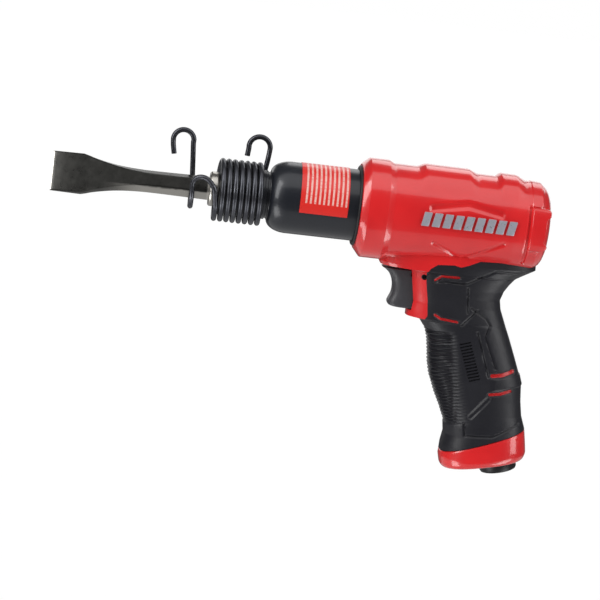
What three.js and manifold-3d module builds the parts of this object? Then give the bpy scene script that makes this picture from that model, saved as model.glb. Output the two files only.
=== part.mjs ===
// Pneumatic air hammer with a pistol grip, a coil-spring bit retainer and a flat chisel.
// Millimetres. +Z is up, the chisel points along -X and the barrel's axis is the X axis.
// The origin is on the barrel's axis, at the flat centre of the housing's rear face.

import * as THREE from "three";
import { mergeVertices } from "three/addons/utils/BufferGeometryUtils.js";
import Module from "manifold-3d";

const wasm = await Module();
wasm.setup();

// ---------------------------------------------------------------- driving dimensions

const GAP = 0.3; // between pieces that touch on the real tool
const ROUND = 32; // facets round a turned piece on the barrel's axis
const SMALL_ROUND = 16; // facets round a small turned piece

const BARREL_RADIUS = 19.65;
const BORE_RADIUS = 9.6; // three-quarter inch piston bore
const SHANK_BORE_RADIUS = 5.35;
const NOSE_X = -182; // front face of the barrel
const NOSE_RADIUS = 13.7;
const SHOULDER_X = -154.5;
const SHOULDER_LENGTH = 11;
const BARREL_REAR_X = -30;
const PORT_X = -84; // exhaust ports through the barrel's wall
const PORTS = 4;

const RIM_X = -105.5; // front rim of the housing
const HOUSING_BORE = BARREL_RADIUS + 0.35;
const EXHAUST_ANNULUS = 21.6;
const VALVE_RADIUS = 17.2;
const VALVE_BORE = VALVE_RADIUS + GAP;
const REAR_WALL_X = -8;

const WIRE_RADIUS = 1.45; // retainer spring
const COIL_RADIUS = 15.95;
const COIL_PITCH = 3.4;
const COIL_FIRST_X = -183; // where the first turn passes the lowest point
const COIL_TURNS = 7;

const SHANK_RADIUS = 5.1; // 0.401 inch chisel shank
const COLLAR_RADIUS = 9.6;
const CHISEL_TURN = 20; // degrees that the chisel is turned in its round socket
const CHISEL_TIP_X = -273.2;

const THROTTLE_Z = -44.5; // axis of the throttle valve
const TRIGGER_HALF_WIDTH = 7.3;
const PIN_X = -65.3; // trigger's retaining pin
const PIN_Z = -33.6;
const PIN_RADIUS = 1.45;
const LOCK_X = -97; // set screw that locks the barrel
const LOCK_RADIUS = 2.9;

const INLET_TILT = 15; // degrees that the inlet leans back from vertical
const INLET_X = -8; // centre of the inlet's end face
const INLET_Z = -138.5;
const INLET_RADIUS = 10.25;
const RUBBER = 3; // thickness of the grip sleeve

// Ring of the grip: height, front edge, rear edge, half width.
const HANDLE_STATIONS = [
  [-12, -88, -5, 15.0],
  [-22, -90, -3, 16.4],
  [-24.4, -90.5, -2.8, 16.6],
  [-26.2, -90.2, -6, 16.6],
  [-28.2, -90, -9.6, 16.5],
  [-29.9, -89, -12.5, 16.4],
  [-30.6, -74, -13.6, 16.3],
  [-34, -73.2, -16.3, 16.2],
  [-38, -72.5, -18.8, 16.0],
  [-43, -71.6, -20.3, 15.8],
  [-48, -70.8, -19.3, 15.6],
  [-53, -71.5, -17.1, 15.5],
  [-56.6, -71.5, -15.5, 15.5],
  [-57.6, -64, -15.1, 15.5],
  [-62.5, -60.2, -12.8, 15.6],
  [-68, -58.2, -10.4, 15.9],
  [-75, -57, -7.4, 16.3],
  [-82, -56, -4.5, 16.7],
  [-88.5, -54.3, -2.2, 17.0],
  [-98, -50.2, -1.2, 17.1],
  [-106, -46.1, 0.3, 17.3],
  [-113, -42.8, 3.0, 17.8],
  [-120, -41.7, 4.3, 18.8],
  [-126, -42.6, 5.3, 19.6],
  [-133, -42.8, 5.5, 20.0],
  [-141, -40.8, 5.2, 19.4],
  [-152, -37.5, 4.0, 18.5],
];

// Ring of the upper body: x, half width, height above the axis, depth below it.
const BODY_STATIONS = [
  [RIM_X, 22.9, 22.9, 22.9],
  [-101.5, 25.3, 26.8, 27.8],
  [-91, 25.4, 26.8, 27.8],
  [-88, 25.1, 25.4, 26.2],
  [-73, 25.0, 25.2, 25.6],
  [-69, 25.0, 26.8, 25.6],
  [-49, 25.0, 26.8, 25.6],
  [-42, 25.0, 24.6, 25.4],
  [-32, 24.9, 24.4, 25.2],
  [-28, 24.8, 25.9, 25.0],
  [-21, 24.6, 25.8, 24.8],
  [-15, 24.2, 24.0, 24.4],
  [-6.5, 23.0, 23.0, 23.4],
  [-3.8, 20.6, 20.8, 21.2],
  [-1.2, 15.5, 15.5, 15.5],
  [0, 9, 9, 9],
];

const UP = new THREE.Vector3(0, 0, 1);
const rad = THREE.MathUtils.degToRad;

// ---------------------------------------------------------------- materials

const paint = (color, roughness, metalness) =>
  new THREE.MeshStandardMaterial({ color, roughness, metalness });

const RED_PAINT = paint(0xc81518, 0.25, 0.1);
const BLACK_RUBBER = paint(0x242429, 0.7, 0);
const BLACK_BARREL = paint(0x2b2d31, 0.4, 0.3);
const SPRING_STEEL = paint(0x35363c, 0.35, 0.8);
const CHISEL_STEEL = paint(0x4a4b48, 0.4, 0.9);
const BRIGHT_STEEL = paint(0xb0b2b5, 0.3, 1);
const TRIGGER_PLASTIC = paint(0x4d4e54, 0.5, 0);
const BLACK_OXIDE = paint(0x1b1b1d, 0.4, 0.6);
const BRASS = paint(0xb08d4a, 0.35, 1);
const FELT = paint(0x8c8577, 0.95, 0);
const LABEL_RED = paint(0xd02522, 0.45, 0);
const SILVER = paint(0xb9bcc4, 0.3, 0.9);
const NITRILE = paint(0x151516, 0.6, 0);

// ---------------------------------------------------------------- solids

/** A manifold-3d solid from a closed geometry, facing out whichever way it was wound. */
function solidOf(geometry) {
  const loose = geometry.index ? geometry.toNonIndexed() : geometry;
  const bare = new THREE.BufferGeometry().setAttribute("position", loose.getAttribute("position"));
  const merged = mergeVertices(bare, 1e-4);
  const all = merged.index.array;
  const kept = [];
  for (let i = 0; i < all.length; i += 3) {
    const [a, b, c] = [all[i], all[i + 1], all[i + 2]];
    if (a !== b && b !== c && a !== c) kept.push(a, b, c);
  }
  const make = (triangles) =>
    new wasm.Manifold(
      new wasm.Mesh({
        numProp: 3,
        vertProperties: merged.attributes.position.array,
        triVerts: new Uint32Array(triangles),
      }),
    );
  const made = make(kept);
  return made.volume() > 0 ? made : make(kept.reverse());
}

/** The BufferGeometry of a solid. */
function geometryOf(solid) {
  const mesh = solid.getMesh();
  const geometry = new THREE.BufferGeometry();
  geometry.setAttribute("position", new THREE.BufferAttribute(mesh.vertProperties, 3));
  geometry.setIndex(new THREE.BufferAttribute(mesh.triVerts, 1));
  return geometry;
}

/** The largest body of a solid, without the slivers that a cut can leave. */
function mainBody(solid) {
  const bodies = solid.decompose();
  return bodies.reduce((best, body) => (body.volume() > best.volume() ? body : best));
}

/** A named mesh of a solid, put into a group. */
function piece(group, name, solid, material) {
  const mesh = new THREE.Mesh(geometryOf(mainBody(solid)), material);
  mesh.name = name;
  group.add(mesh);
  return mesh;
}

/** Turned about the X axis from [x, radius] points: a closed outline, or one that starts and ends on the axis. */
function turned(outline, facets = ROUND) {
  const points = outline.map(([x, r]) => new THREE.Vector2(r, x));
  const onAxis = outline[0][1] === 0;
  if (!onAxis) points.push(points[0].clone());
  return solidOf(new THREE.LatheGeometry(points, facets).rotateZ(-Math.PI / 2));
}

/** A rod along X. */
const rod = (x0, x1, radius, facets = SMALL_ROUND) =>
  turned([[x0, 0], [x0, radius], [x1, radius], [x1, 0]], facets);

/** A tube along X. */
const tube = (x0, x1, outer, inner, facets = ROUND) =>
  turned([[x0, inner], [x0, outer], [x1, outer], [x1, inner]], facets);

/** A box from its lowest and highest corners. */
function block([x0, y0, z0], [x1, y1, z1]) {
  const box = new THREE.BoxGeometry(x1 - x0, y1 - y0, z1 - z0);
  return solidOf(box.translate((x0 + x1) / 2, (y0 + y1) / 2, (z0 + z1) / 2));
}

/** A rod between two points. */
function rodBetween(from, to, radius, facets = 12) {
  const a = new THREE.Vector3(...from);
  const b = new THREE.Vector3(...to);
  const along = b.clone().sub(a);
  const cylinder = new THREE.CylinderGeometry(radius, radius, along.length(), facets);
  const turn = new THREE.Quaternion().setFromUnitVectors(new THREE.Vector3(0, 1, 0), along.normalize());
  const middle = a.add(b).multiplyScalar(0.5);
  return solidOf(cylinder.applyQuaternion(turn).translate(middle.x, middle.y, middle.z));
}

/** A plate with an outline of [x, z] points, between two values of y. */
function plate(outline, y0, y1) {
  const shape = new THREE.Shape(outline.map(([x, z]) => new THREE.Vector2(x, z)));
  const flat = new THREE.ExtrudeGeometry(shape, { depth: y1 - y0, bevelEnabled: false });
  return solidOf(flat.rotateX(Math.PI / 2).translate(0, y1, 0));
}

/** A closed skin over rings of points, with its two ends closed. */
function skin(rings) {
  const count = rings[0].length;
  const positions = [];
  const triangle = (a, b, c) => positions.push(...a, ...b, ...c);
  for (let i = 0; i + 1 < rings.length; i++) {
    for (let j = 0; j < count; j++) {
      const k = (j + 1) % count;
      triangle(rings[i][j], rings[i][k], rings[i + 1][k]);
      triangle(rings[i][j], rings[i + 1][k], rings[i + 1][j]);
    }
  }
  const cap = (ring, flip) => {
    const centre = [0, 1, 2].map((axis) => ring.reduce((sum, p) => sum + p[axis], 0) / count);
    for (let j = 0; j < count; j++) {
      const k = (j + 1) % count;
      if (flip) triangle(centre, ring[k], ring[j]);
      else triangle(centre, ring[j], ring[k]);
    }
  };
  cap(rings[0], true);
  cap(rings[rings.length - 1], false);
  const geometry = new THREE.BufferGeometry();
  geometry.setAttribute("position", new THREE.Float32BufferAttribute(positions, 3));
  return solidOf(geometry);
}

/** A signed power, which squares a circle off into a superellipse. */
const squared = (value, power) => Math.sign(value) * Math.abs(value) ** power;

/** The upper body's skin, grown outwards by an amount. */
function bodySkin(grow = 0) {
  const facets = 24;
  const power = 2 / 2.2;
  const rings = BODY_STATIONS.map(([x, half, top, bottom], i) => {
    const end = i === 0 ? -grow : i === BODY_STATIONS.length - 1 ? grow : 0;
    return Array.from({ length: facets }, (_, j) => {
      const angle = (2 * Math.PI * j) / facets;
      const up = Math.sin(angle);
      const height = (up > 0 ? top : bottom) + grow;
      return [x + end, (half + grow) * squared(Math.cos(angle), power), height * squared(up, power)];
    });
  });
  return skin(rings);
}

/** The handle's skin, drawn in by an amount all round. */
function handleSkin(inset = 0) {
  const facets = 20;
  const power = 2 / 2.5;
  const rings = HANDLE_STATIONS.map(([z, front, rear, half]) => {
    const middle = (front + rear) / 2;
    const reach = (rear - front) / 2 - inset;
    return Array.from({ length: facets }, (_, j) => {
      const angle = (2 * Math.PI * j) / facets;
      return [
        middle + reach * squared(Math.cos(angle), power),
        (half - inset) * squared(Math.sin(angle), power),
        z,
      ];
    });
  });
  return skin(rings);
}

/** A smooth curve sampled exactly at its points, so that tight bends can have closer points. */
class Route extends THREE.CatmullRomCurve3 {
  getPointAt(t) {
    return this.getPoint(t);
  }

  getTangentAt(t) {
    return this.getTangent(t);
  }
}

/** A round wire along a list of points. */
function wire(points, radius, sides) {
  const route = new Route(points.map((p) => new THREE.Vector3(...p)));
  const section = new THREE.Shape(
    Array.from({ length: sides }, (_, i) => {
      const angle = (2 * Math.PI * i) / sides;
      return new THREE.Vector2(radius * Math.cos(angle), radius * Math.sin(angle));
    }),
  );
  const steps = points.length - 1;
  return solidOf(new THREE.ExtrudeGeometry(section, { steps, extrudePath: route }));
}

// ---------------------------------------------------------------- shared outlines

// Everything below the red lower edge of the housing that is rubber, in side view.
const GRIP_OUTLINE = [
  [-64.6, -31], [-63, -28], [-59.5, -25.2], [-50, -24.4], [-46.5, -25.2], [-42.5, -23.8],
  [-36, -20.8], [-20, -20.4], [-4, -20.6], [8, -22], [14, -108], [4.4, -112.2],
  [-44, -130.2], [-60, -136], [-76, -70], [-74, -57.2], [-62.6, -57.2], [-61.2, -54.5],
  [-62.2, -46], [-64.2, -36],
];

const COLLAR_TOP = [[-43.5, -130.6], [4.4, -112.6]];
const COLLAR_BOTTOM = [[-41.5, -140], [4.6, -130]];
const COLLAR_WALL = 3;

/** A line of two points, raised by an amount. */
const raised = (line, up) => line.map(([x, z]) => [x, z + up]);

/** The half-space below a line from the collar's front to its rear, as a big block. */
function below(front, rear) {
  const [x0, z0] = front;
  const [x1, z1] = rear;
  const lean = (z1 - z0) / (x1 - x0);
  const reach = 60;
  const edge = [
    [x0 - reach, z0 - reach * lean],
    [x1 + reach, z1 + reach * lean],
  ];
  return plate([...edge, [x1 + reach, -260], [x0 - reach, -260]], -40, 40);
}


// ---------------------------------------------------------------- housing and handle

function housing() {
  const grip = plate(GRIP_OUTLINE, -40, 40);
  const redHandle = handleSkin().subtract(grip).subtract(below(...COLLAR_TOP));
  const core = handleSkin(RUBBER).subtract(below(...raised(COLLAR_TOP, GAP)));
  const sidePad = (side) => {
    const [low, high] = side > 0 ? [12, 23.6] : [-23.6, -12];
    const whole = block([-12, low, -11.5], [-0.6, high, 12]);
    return whole.subtract(block([-3, -30, -6.8], [1, 30, 6.8]));
  };
  let made = bodySkin().add(redHandle).add(core).add(sidePad(1)).add(sidePad(-1));

  // Bore of the barrel, widened where the exhaust gathers, and the valve's seat behind it.
  made = made.subtract(rod(RIM_X - 5, -28.4, HOUSING_BORE, ROUND));
  made = made.subtract(rod(-90, -60, EXHAUST_ANNULUS, ROUND));
  made = made.subtract(rod(-28.5, REAR_WALL_X, VALVE_BORE, ROUND));

  // Slot of the trigger, the pocket of its ear, and the throttle's bore.
  const slot = TRIGGER_HALF_WIDTH + 0.4;
  made = made.subtract(block([-95, -slot, -53.4], [-62, slot, -30.9]));
  made = made.subtract(block([-63, -3.4, -37.2], [-55.4, 3.4, -30.9]));
  made = made.subtract(rod(-63, -36, 6.5).translate([0, 0, THROTTLE_Z]));
  made = made.subtract(rodBetween([PIN_X, -30, PIN_Z], [PIN_X, 30, PIN_Z], PIN_RADIUS + 0.15));
  made = made.subtract(rodBetween([LOCK_X, 0, -15], [LOCK_X, 0, -30], LOCK_RADIUS + 0.1));

  // Air passages: inlet to throttle, throttle to valve, and two exhausts down the handle.
  const inlet = inletPoint(20);
  made = made.subtract(rodBetween(inletPoint(-5), inlet, 8.9, SMALL_ROUND));
  made = made.subtract(rodBetween(inlet, [-38.5, 0, THROTTLE_Z], 4.2));
  made = made.subtract(rodBetween([-38.5, 0, THROTTLE_Z], [-19, 0, -14], 2.8));
  for (const side of [-1, 1]) {
    made = made.subtract(rodBetween([-63, 9.9 * side, -17], [-33.5, 9.9 * side, -140], 2.3, 10));
  }
  return made;
}

/** A point on the inlet's axis, a distance up from its end face. */
function inletPoint(up) {
  return [INLET_X - up * Math.sin(rad(INLET_TILT)), 0, INLET_Z + up * Math.cos(rad(INLET_TILT))];
}

function rubberGrip() {
  const outer = handleSkin().intersect(plate(shrunk(GRIP_OUTLINE), -40, 40));
  const inner = handleSkin(RUBBER - GAP);
  const pinNotch = rodBetween([PIN_X, -30, PIN_Z], [PIN_X, 30, PIN_Z], PIN_RADIUS + 2 * GAP);
  return outer.subtract(inner).subtract(bodySkin(GAP)).subtract(pinNotch);
}

/** An outline drawn in towards its middle by the gap between pieces. */
function shrunk(outline) {
  return outline.map(([x, z], i) => {
    const before = outline[(i + outline.length - 1) % outline.length];
    const after = outline[(i + 1) % outline.length];
    const along = new THREE.Vector2(after[0] - before[0], after[1] - before[1]).normalize();
    return [x + along.y * GAP * 1.2, z - along.x * GAP * 1.2];
  });
}

function baseCollar() {
  const outer = handleSkin().intersect(below(...COLLAR_TOP)).subtract(below(...COLLAR_BOTTOM));
  const cavity = handleSkin(COLLAR_WALL).subtract(below(...raised(COLLAR_BOTTOM, COLLAR_WALL)));
  let made = outer.subtract(cavity);
  made = made.subtract(rodBetween(inletPoint(-5), inletPoint(20), 8.8, SMALL_ROUND));
  made = made.subtract(rodBetween(inletPoint(-5), inletPoint(5.5), INLET_RADIUS + GAP, SMALL_ROUND));
  for (const x of [-36, -32, -28, -24]) {
    made = made.subtract(block([x - 0.9, -9, -145], [x + 0.9, 9, -120]));
  }
  return made;
}

function exhaustMuffler() {
  const under = below(...raised(COLLAR_TOP, -GAP));
  const over = below(...raised(COLLAR_BOTTOM, COLLAR_WALL + GAP));
  const pad = handleSkin(COLLAR_WALL + GAP).intersect(under).subtract(over);
  return pad.subtract(rodBetween(inletPoint(-5), inletPoint(30), 9.2, SMALL_ROUND));
}

// ---------------------------------------------------------------- barrel group

function barrel() {
  const steps = 6;
  const shoulder = Array.from({ length: steps }, (_, i) => {
    const angle = (Math.PI / 2) * (i / (steps - 1));
    const x = SHOULDER_X + SHOULDER_LENGTH * (1 - Math.cos(angle));
    return [x, 13.4 + (BARREL_RADIUS - 13.4) * Math.sin(angle)];
  });
  const outline = [
    [NOSE_X, SHANK_BORE_RADIUS], [NOSE_X, NOSE_RADIUS - 1], [NOSE_X + 1, NOSE_RADIUS],
    [-157, NOSE_RADIUS], [-156.6, 13.1], [SHOULDER_X - 0.1, 13.1],
    ...shoulder,
    [-46.4, BARREL_RADIUS], [-46.4, 17.9], [-43.6, 17.9], [-43.6, BARREL_RADIUS],
    [BARREL_REAR_X, BARREL_RADIUS], [BARREL_REAR_X, BORE_RADIUS],
    [-155.5, BORE_RADIUS], [-158, SHANK_BORE_RADIUS],
  ];
  let made = turned(outline);
  for (let i = 0; i < PORTS; i++) {
    const angle = (2 * Math.PI * (i + 0.5)) / PORTS;
    const [y, z] = [Math.cos(angle), Math.sin(angle)];
    made = made.subtract(rodBetween([PORT_X, 5 * y, 5 * z], [PORT_X, 24 * y, 24 * z], 2.4, 8));
  }
  return made;
}

/** A band round the barrel between two angles, measured from the near side up over the top. */
function labelBand(inner, outer, x0, x1, from, to) {
  const steps = 12;
  const arc = (radius, a, b) =>
    Array.from({ length: steps + 1 }, (_, i) => {
      const angle = rad(a + ((b - a) * i) / steps);
      return new THREE.Vector2(-radius * Math.cos(angle), radius * Math.sin(angle));
    });
  const shape = new THREE.Shape([...arc(outer, from, to), ...arc(inner, to, from)]);
  const flat = new THREE.ExtrudeGeometry(shape, { depth: x1 - x0, bevelEnabled: false });
  // The shape's x becomes y, its y becomes z, and its depth becomes x.
  const turn = new THREE.Matrix4().makeBasis(new THREE.Vector3(0, 1, 0), UP, new THREE.Vector3(1, 0, 0));
  return solidOf(flat.applyMatrix4(turn).translate(x0, 0, 0));
}

/** A ring of round section about the X axis. */
function roundRing(x, radius, section, facets = ROUND, sides = 6) {
  const outline = Array.from({ length: sides }, (_, i) => {
    const angle = (2 * Math.PI * i) / sides;
    return [x + section * Math.cos(angle), radius + section * Math.sin(angle)];
  });
  return turned(outline, facets);
}

// ---------------------------------------------------------------- bit end

/** One six-sided section of the chisel: half width, half height of its flat, half thickness. */
function chiselRing(x, width, flat, thickness) {
  return [
    [x, 0, width], [x, -thickness, flat], [x, -thickness, -flat],
    [x, 0, -width], [x, thickness, -flat], [x, thickness, flat],
  ];
}

function chisel() {
  const bladeAndBar = skin([
    chiselRing(CHISEL_TIP_X, 11.1, 10.9, 0.35),
    chiselRing(-271, 11.15, 10.8, 1.4),
    chiselRing(-256.5, 11.4, 10.7, 2.6),
    chiselRing(-250, 9.6, 8.6, 3.3),
    chiselRing(-244, 8.3, 6.9, 3.9),
    chiselRing(-237, 7.2, 5.3, 4.5),
    chiselRing(-228, 6.5, 3.9, 5.0),
    chiselRing(-216, 6.3, 3.2, 5.4),
    chiselRing(-187.5, 6.7, 3.4, 5.8),
    chiselRing(-185.5, 6.7, 3.4, 5.8),
  ]);
  const turnedEnd = turned(
    [
      [-187, 0], [-187, COLLAR_RADIUS - 0.6], [-186.4, COLLAR_RADIUS], [-183, COLLAR_RADIUS],
      [NOSE_X - GAP, COLLAR_RADIUS - 0.7], [NOSE_X - GAP, SHANK_RADIUS], [-154, SHANK_RADIUS],
      [-153, SHANK_RADIUS - 1], [-153, 0],
    ],
    SMALL_ROUND,
  );
  return bladeAndBar.add(turnedEnd);
}

/** Points of an arc in a plane of constant y, between two angles measured from +X towards +Z. */
function hookArc(x, y, z, radius, from, to, steps) {
  return Array.from({ length: steps + 1 }, (_, i) => {
    const angle = rad(from + ((to - from) * i) / steps);
    return [x + radius * Math.cos(angle), y, z + radius * Math.sin(angle)];
  });
}

/** The whole wire, from the tip of the front thumb hook to the tip of the rear one. */
function retainerPath() {
  const cradle = 10.7; // radius of the loop under the chisel
  const frontHook = hookArc(-203.6, cradle, 23.6, 5.65, 192, -12, 9);
  const frontTip = [[-207.9, cradle, 15.6], [-208.8, cradle, 20]];
  const frontLeg = [[-197.5, cradle, 16], [-196.9, cradle, 9], [-196.4, cradle, 3]];
  const underChisel = Array.from({ length: 9 }, (_, i) => {
    const angle = rad(10 + 20 * i);
    return [-196.1 - 0.1 * i, cradle * Math.cos(angle), -cradle * Math.sin(angle)];
  });
  const arch = [
    [-197.1, -10.9, 1.8], [-196.6, -11.6, 4.6], [-194.6, -12.6, 6.7], [-191.6, -13.7, 7.2],
    [-188.9, -14.6, 6.2], [-186.6, -15.4, 3.8], [-185, -15.85, 0.8],
  ];
  // The coil is right-handed. Its angle is measured from the lowest point, the near side being minus a quarter turn.
  const perTurn = 15;
  const start = -60;
  const stop = 360 * COIL_TURNS + 82;
  const count = Math.round(((stop - start) / 360) * perTurn);
  const coil = Array.from({ length: count + 1 }, (_, i) => {
    const degrees = start + ((stop - start) * i) / count;
    const angle = rad(degrees);
    const x = COIL_FIRST_X + (COIL_PITCH * degrees) / 360;
    return [x, COIL_RADIUS * Math.sin(angle), -COIL_RADIUS * Math.cos(angle)];
  });
  const rearLeg = [[-157.9, COIL_RADIUS, 3], [-157.1, COIL_RADIUS, 10], [-156.1, COIL_RADIUS, 17]];
  const rearHook = hookArc(-161.4, COIL_RADIUS, 24, 5.9, -8, 190, 9);
  const rearTip = [[-167.6, COIL_RADIUS, 18.4]];
  return [
    ...frontTip, ...frontHook, ...frontLeg, ...underChisel, ...arch,
    ...coil, ...rearLeg, ...rearHook, ...rearTip,
  ];
}

// ---------------------------------------------------------------- trigger and throttle

function trigger() {
  const face = [
    [-88.4, -31.3], [-85.8, -32.6], [-83, -35.2], [-81.3, -38.4], [-80.6, -42], [-80.8, -45.4],
    [-81.8, -48.2], [-82.6, -50.2], [-82.2, -51.8], [-80.8, -52.7],
  ];
  const body = plate([...face, [-68.6, -52.9], [-68.6, -31.3]], -TRIGGER_HALF_WIDTH, TRIGGER_HALF_WIDTH);
  const ear = plate([[-69, -31.4], [-69, -36.8], [-61.6, -36.8], [-61.6, -31.4]], -3, 3);
  const slotRadius = PIN_RADIUS + GAP;
  const slot = block([PIN_X - 5, -9, PIN_Z - slotRadius], [PIN_X, 9, PIN_Z + slotRadius])
    .add(rodBetween([PIN_X - 5, -9, PIN_Z], [PIN_X - 5, 9, PIN_Z], slotRadius))
    .add(rodBetween([PIN_X, -9, PIN_Z], [PIN_X, 9, PIN_Z], slotRadius));
  return body.add(ear).subtract(slot);
}

function throttleSpring() {
  const turns = 4;
  const perTurn = 10;
  const [from, to] = [-46.0, -36.9];
  const path = Array.from({ length: turns * perTurn + 1 }, (_, i) => {
    const angle = (2 * Math.PI * i) / perTurn;
    const x = from + ((to - from) * i) / (turns * perTurn);
    return [x, 3.4 * Math.cos(angle), 3.4 * Math.sin(angle)];
  });
  return wire(path, 0.4, 4);
}

// ---------------------------------------------------------------- assembly

const tool = new THREE.Group();

const handle = new THREE.Group();
tool.add(handle);
piece(handle, "housing", housing(), RED_PAINT);
piece(handle, "rubber_grip", rubberGrip(), BLACK_RUBBER);
piece(handle, "base_collar", baseCollar(), RED_PAINT);
piece(handle, "exhaust_muffler", exhaustMuffler(), FELT);
for (const [name, side] of [["badge_left", -1], ["badge_right", 1]]) {
  const outline = [[-73, -3.9], [-22, -3.9], [-20.4, 4.1], [-71.4, 4.1]];
  const near = 25.6 * side;
  const far = 26.4 * side;
  piece(handle, name, plate(outline, Math.min(near, far), Math.max(near, far)), SILVER);
}

// The inlet's own axis is X here, with its end face at zero and the handle at plus X.
const inlet = new THREE.Group();
inlet.position.set(INLET_X, 0, INLET_Z);
inlet.rotation.y = -rad(90 + INLET_TILT);
tool.add(inlet);
const bushing = turned(
  [
    [0, 6.6], [0, INLET_RADIUS - 0.8], [0.8, INLET_RADIUS], [5.2, INLET_RADIUS], [5.2, 8.5],
    [19.5, 8.5], [19.5, 4], [15, 4], [15, 5.6],
  ],
  SMALL_ROUND,
);
piece(inlet, "inlet_bushing", bushing, BLACK_OXIDE);
piece(inlet, "inlet_screen", tube(13.2, 14.6, 5.2, 1.2, 16), BRASS);

const hammer = new THREE.Group();
tool.add(hammer);
piece(hammer, "barrel", barrel(), BLACK_BARREL);
piece(hammer, "front_bumper_ring", tube(-106.9, RIM_X - GAP, 22.1, BARREL_RADIUS + 0.25), NITRILE);
piece(hammer, "barrel_oring", roundRing(-45, 18.95, 0.85), NITRILE);
const lockEnds = [[LOCK_X, 0, -26.8], [LOCK_X, 0, -BARREL_RADIUS - GAP]];
const lockKey = rodBetween([LOCK_X, 0, -28], [LOCK_X, 0, -23.8], 1.6, 6);
piece(hammer, "barrel_lock_screw", rodBetween(...lockEnds, LOCK_RADIUS).subtract(lockKey), BLACK_OXIDE);
const label = labelBand(BARREL_RADIUS + 0.12, BARREL_RADIUS + 0.4, -138.7, -112.2, -15, 98);
piece(hammer, "barrel_label", label, LABEL_RED);
piece(hammer, "piston", rod(-72, -34, BORE_RADIUS - 0.12, ROUND), BRIGHT_STEEL);
const valveBlock = tube(-29.6, -22, VALVE_RADIUS, 4).subtract(rod(-25, -20, 12, ROUND));
piece(hammer, "valve_block", valveBlock, BRIGHT_STEEL);
piece(hammer, "valve_disc", rod(-24.7, -23.4, 11.4, ROUND), BRIGHT_STEEL);
const valveCap = tube(-21.7, -14.3, VALVE_RADIUS, 3).subtract(tube(-19.8, -16.2, 20, 14.5));
const portDown = rodBetween([-18, 0, 0], [-18, 0, -18], 2.4, 8);
piece(hammer, "valve_cap", valveCap.subtract(portDown), BRIGHT_STEEL);
piece(hammer, "rear_buffer", tube(-14, REAR_WALL_X - GAP, 15.5, 5), NITRILE);

const bitEnd = new THREE.Group();
tool.add(bitEnd);
const chiselMesh = piece(bitEnd, "chisel", chisel(), CHISEL_STEEL);
chiselMesh.rotation.x = -rad(CHISEL_TURN);
piece(bitEnd, "retainer_spring", wire(retainerPath(), WIRE_RADIUS, 6), SPRING_STEEL);

piece(tool, "trigger", trigger(), TRIGGER_PLASTIC);
const pinEnds = [[PIN_X, -12.8, PIN_Z], [PIN_X, 12.8, PIN_Z]];
piece(tool, "trigger_pin", rodBetween(...pinEnds, PIN_RADIUS, 12), BLACK_OXIDE);

const throttle = new THREE.Group();
throttle.position.z = THROTTLE_Z;
tool.add(throttle);
const throttleBushing = turned(
  [
    [-61.6, 2.5], [-61.6, 6.2], [-57, 6.2], [-57, 5], [-55, 5], [-55, 6.2], [-50.4, 6.2],
    [-50.4, 3.2], [-51.4, 2.5],
  ],
  SMALL_ROUND,
);
piece(throttle, "throttle_bushing", throttleBushing, BRASS);
piece(throttle, "throttle_bushing_oring", tube(-56.7, -55.3, 6.3, 5.3, SMALL_ROUND), NITRILE);
const stem = turned(
  [
    [-68.2, 0], [-68.2, 1.7], [-67.9, 2], [-49.6, 2], [-49.6, 4.6], [-46.6, 4.6], [-46.6, 2.4],
    [-43.4, 2.4], [-43.4, 0],
  ],
  SMALL_ROUND,
);
piece(throttle, "throttle_stem", stem, BRIGHT_STEEL);
piece(throttle, "throttle_seat", tube(-50.2, -49.8, 4.4, 3.4, SMALL_ROUND), NITRILE);
piece(throttle, "throttle_spring", throttleSpring(), BRIGHT_STEEL);

export default tool;
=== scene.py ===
"""Pneumatic air hammer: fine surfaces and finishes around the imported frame.

The frame is in metres and the sizes below are in millimetres. The chisel points along -X, the
barrel's axis is the X axis, +Z is up, and the side that the camera sees faces -Y.
"""

import math

import bpy
from mathutils import Matrix, Vector


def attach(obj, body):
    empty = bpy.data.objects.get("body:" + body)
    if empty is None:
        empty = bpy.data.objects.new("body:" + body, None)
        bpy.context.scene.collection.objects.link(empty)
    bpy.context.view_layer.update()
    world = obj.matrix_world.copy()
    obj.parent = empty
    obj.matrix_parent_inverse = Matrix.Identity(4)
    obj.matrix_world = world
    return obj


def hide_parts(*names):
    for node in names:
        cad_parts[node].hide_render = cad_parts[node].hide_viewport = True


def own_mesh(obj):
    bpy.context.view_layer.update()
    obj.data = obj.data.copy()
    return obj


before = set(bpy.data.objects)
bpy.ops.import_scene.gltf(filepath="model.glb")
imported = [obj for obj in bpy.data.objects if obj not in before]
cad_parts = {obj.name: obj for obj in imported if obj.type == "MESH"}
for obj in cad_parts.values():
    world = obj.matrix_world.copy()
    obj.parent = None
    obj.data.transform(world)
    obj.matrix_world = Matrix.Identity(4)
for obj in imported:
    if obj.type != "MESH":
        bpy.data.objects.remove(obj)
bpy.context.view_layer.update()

MM = 0.001
BODY = "hammer_body"

# ---------------------------------------------------------------- sizes that the pieces share

BARREL_RADIUS = 19.65
BARREL_BORE = 9.6
BARREL_SEAT_RADIUS = 20.0
BARREL_SEAT_X = -28.4
VALVE_POCKET_RADIUS = 17.5
VALVE_POCKET_X = -8
RIM_X = -105.5
NOSE_X = -182.0
NECK_RADIUS = 13.3
SHOULDER_X = -154.5
SHOULDER_LENGTH = 11.0

WIRE_RADIUS = 1.45
COIL_RADIUS = 15.95
COIL_PITCH = 3.4
COIL_FIRST_X = -183.0
COIL_TURNS = 7
COIL_STEPS = 48  # to each turn
CRADLE_RADIUS = 10.7
CHISEL_TURN = 20  # degrees that the chisel is turned in its round socket

INLET_TILT = math.radians(15)
INLET_END = Vector((-8, 0, -138.5))
INLET_RADIUS = 10.25

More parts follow.
